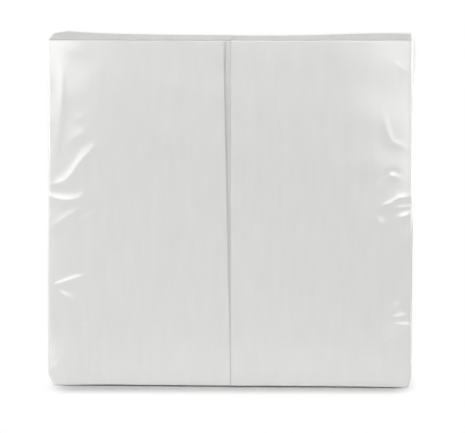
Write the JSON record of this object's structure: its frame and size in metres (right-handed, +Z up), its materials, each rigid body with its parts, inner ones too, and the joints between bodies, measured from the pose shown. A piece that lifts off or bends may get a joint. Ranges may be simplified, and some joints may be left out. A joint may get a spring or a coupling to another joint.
{
  "type": "wrapped pack of paper napkins",
  "caption": "Square pack of plain white paper napkins, folded to an eighth and stood in side-by-side stacks inside a clear film wrap sealed at the ends and along the back.",
  "frame": {"origin": "centre of the pack's footprint, on the floor it stands on", "axes": "+X to the right of the pack along its width, +Y to its back through its depth, +Z up; the front face with the parting between the stacks looks along -Y"},
  "size_m": [0.2114, 0.0708, 0.2009],
  "materials": {
    "clear_film": "clear, glossy",
    "tissue_paper": "soft, matt, uncoated"
  },
  "bodies": {
    "root": {"film_wrap": "clear_film", "left_napkin_01": "tissue_paper", "left_napkin_02": "tissue_paper", "left_napkin_03": "tissue_paper", "left_napkin_04": "tissue_paper", "left_napkin_05": "tissue_paper", "left_napkin_06": "tissue_paper", "left_napkin_07": "tissue_paper", "left_napkin_08": "tissue_paper", "left_napkin_09": "tissue_paper", "left_napkin_10": "tissue_paper", "left_napkin_11": "tissue_paper", "left_napkin_12": "tissue_paper", "left_napkin_13": "tissue_paper", "left_napkin_14": "tissue_paper", "left_napkin_15": "tissue_paper", "left_napkin_16": "tissue_paper", "left_napkin_17": "tissue_paper", "left_napkin_18": "tissue_paper", "left_napkin_19": "tissue_paper", "left_napkin_20": "tissue_paper", "left_napkin_21": "tissue_paper", "left_napkin_22": "tissue_paper", "left_napkin_23": "tissue_paper", "left_napkin_24": "tissue_paper", "left_napkin_25": "tissue_paper", "right_napkin_01": "tissue_paper", "right_napkin_02": "tissue_paper", "right_napkin_03": "tissue_paper", "right_napkin_04": "tissue_paper", "right_napkin_05": "tissue_paper", "right_napkin_06": "tissue_paper", "right_napkin_07": "tissue_paper", "right_napkin_08": "tissue_paper", "right_napkin_09": "tissue_paper", "right_napkin_10": "tissue_paper", "right_napkin_11": "tissue_paper", "right_napkin_12": "tissue_paper", "right_napkin_13": "tissue_paper", "right_napkin_14": "tissue_paper", "right_napkin_15": "tissue_paper", "right_napkin_16": "tissue_paper", "right_napkin_17": "tissue_paper", "right_napkin_18": "tissue_paper", "right_napkin_19": "tissue_paper", "right_napkin_20": "tissue_paper", "right_napkin_21": "tissue_paper", "right_napkin_22": "tissue_paper", "right_napkin_23": "tissue_paper", "right_napkin_24": "tissue_paper", "right_napkin_25": "tissue_paper"}
  },
  "joints": []
}
